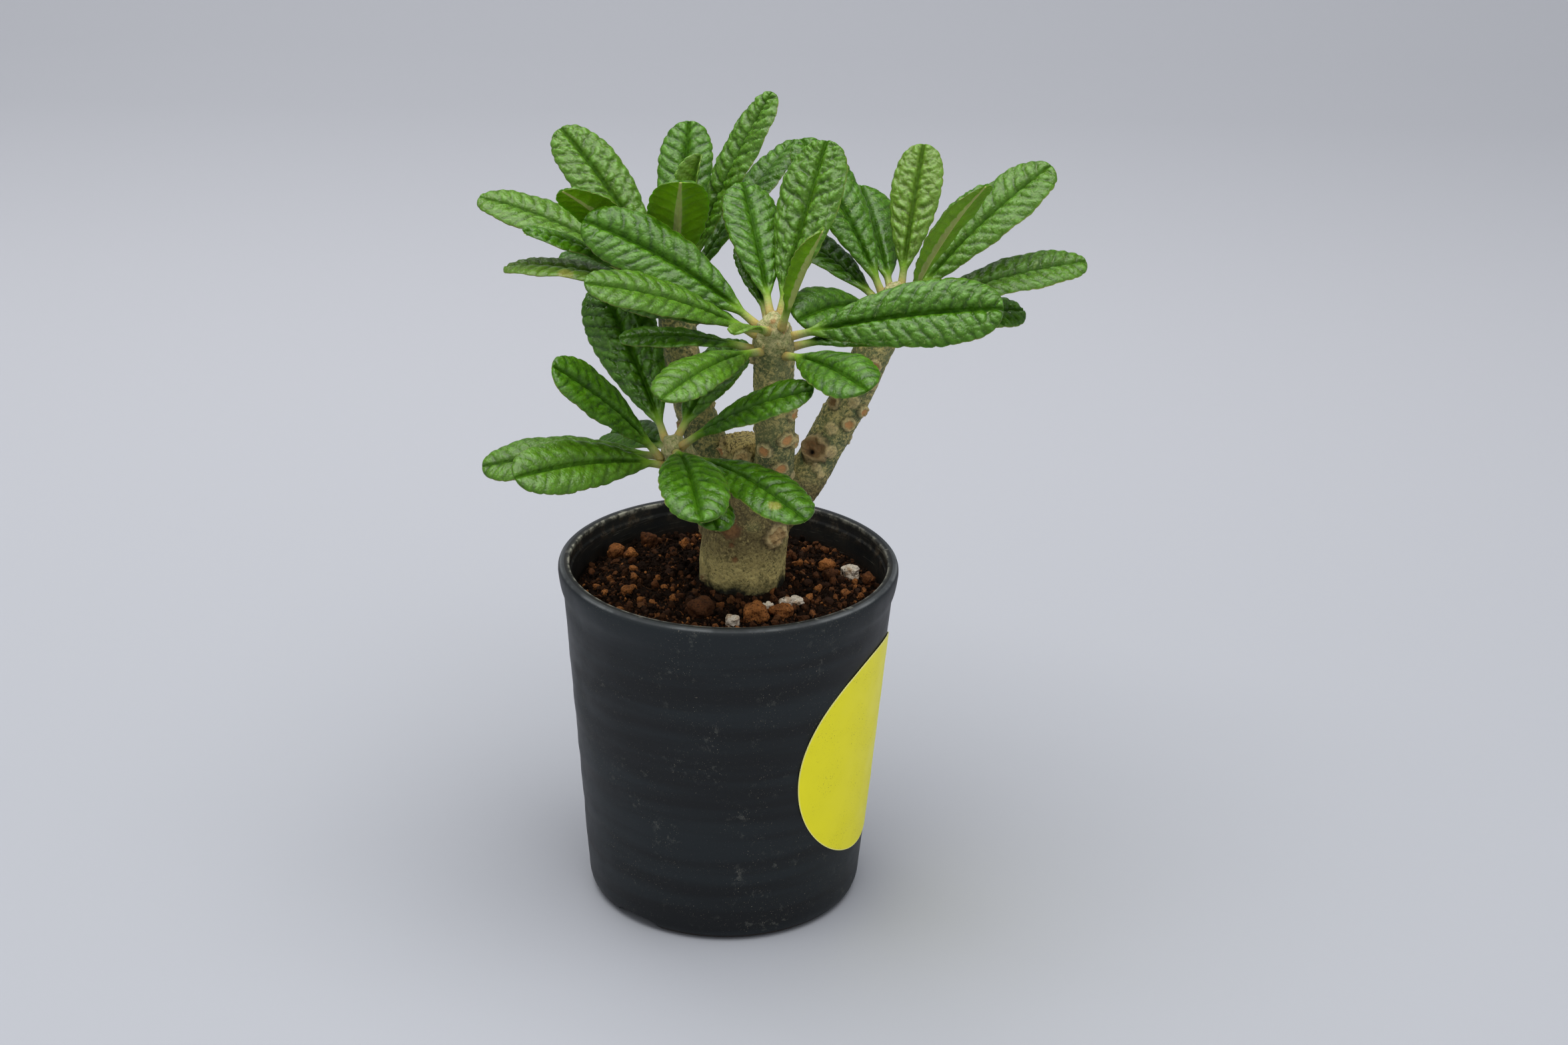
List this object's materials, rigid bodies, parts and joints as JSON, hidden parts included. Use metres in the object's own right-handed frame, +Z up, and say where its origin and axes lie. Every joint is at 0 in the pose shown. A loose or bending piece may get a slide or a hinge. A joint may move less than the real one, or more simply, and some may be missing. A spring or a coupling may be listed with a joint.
{
  "type": "potted succulent",
  "caption": "Small branching succulent with a thick trunk and shoots of wrinkled spoon-shaped leaves, rooted in soil in a tapered round nursery pot. Stands on its flat base.",
  "frame": {"origin": "The centre of the pot's base, on the surface that the pot stands on.", "axes": "+Z is up, along the pot's axis and the plant's height. The front of the plant looks along -Y, and +X is to its right."},
  "size_m": [0.1327, 0.0937, 0.1769],
  "materials": {
    "pot_plastic": "semi-matte black moulded plastic",
    "label_paper": "plain yellow coated sticker",
    "soil_mix": "dark fine fibrous potting mix",
    "bark": "grainy grey-green bark",
    "leaf_green": "glossy green leaf",
    "pumice": "pale rough pumice",
    "baked_clay": "matte brown baked clay"
  },
  "bodies": {
    "root": {"pot": "pot_plastic", "label": "label_paper", "soil": "soil_mix", "stem": "bark", "back_shoot_leaf_01": "leaf_green", "back_shoot_leaf_02": "leaf_green", "back_shoot_leaf_03": "leaf_green", "back_shoot_leaf_04": "leaf_green", "back_shoot_leaf_05": "leaf_green", "back_shoot_leaf_06": "leaf_green", "back_shoot_leaf_07": "leaf_green", "back_shoot_leaf_08": "leaf_green", "back_shoot_leaf_09": "leaf_green", "back_shoot_leaf_10": "leaf_green", "back_shoot_leaf_11": "leaf_green", "front_shoot_leaf_01": "leaf_green", "front_shoot_leaf_02": "leaf_green", "front_shoot_leaf_03": "leaf_green", "front_shoot_leaf_04": "leaf_green", "front_shoot_leaf_05": "leaf_green", "front_shoot_leaf_06": "leaf_green", "front_shoot_leaf_07": "leaf_green", "front_shoot_leaf_08": "leaf_green", "front_shoot_leaf_09": "leaf_green", "front_shoot_leaf_10": "leaf_green", "front_shoot_leaf_11": "leaf_green", "front_shoot_leaf_12": "leaf_green", "front_shoot_leaf_13": "leaf_green", "right_shoot_leaf_01": "leaf_green", "right_shoot_leaf_02": "leaf_green", "right_shoot_leaf_03": "leaf_green", "right_shoot_leaf_04": "leaf_green", "right_shoot_leaf_05": "leaf_green", "right_shoot_leaf_06": "leaf_green", "right_shoot_leaf_07": "leaf_green", "right_shoot_leaf_08": "leaf_green", "right_shoot_leaf_09": "leaf_green", "low_shoot_leaf_01": "leaf_green", "low_shoot_leaf_02": "leaf_green", "low_shoot_leaf_03": "leaf_green", "low_shoot_leaf_04": "leaf_green", "low_shoot_leaf_05": "leaf_green", "low_shoot_leaf_06": "leaf_green", "low_shoot_leaf_07": "leaf_green", "low_shoot_leaf_08": "leaf_green", "low_shoot_leaf_09": "leaf_green", "low_shoot_leaf_10": "leaf_green", "clay_stone_1": "baked_clay", "clay_stone_2": "baked_clay", "clay_stone_3": "baked_clay", "clay_stone_4": "baked_clay", "clay_stone_5": "baked_clay", "clay_stone_6": "baked_clay", "clay_stone_7": "baked_clay", "clay_stone_8": "baked_clay", "clay_stone_9": "baked_clay", "pumice_stone_1": "pumice", "pumice_stone_2": "pumice", "pumice_stone_3": "pumice", "pumice_stone_4": "pumice"}
  },
  "joints": []
}
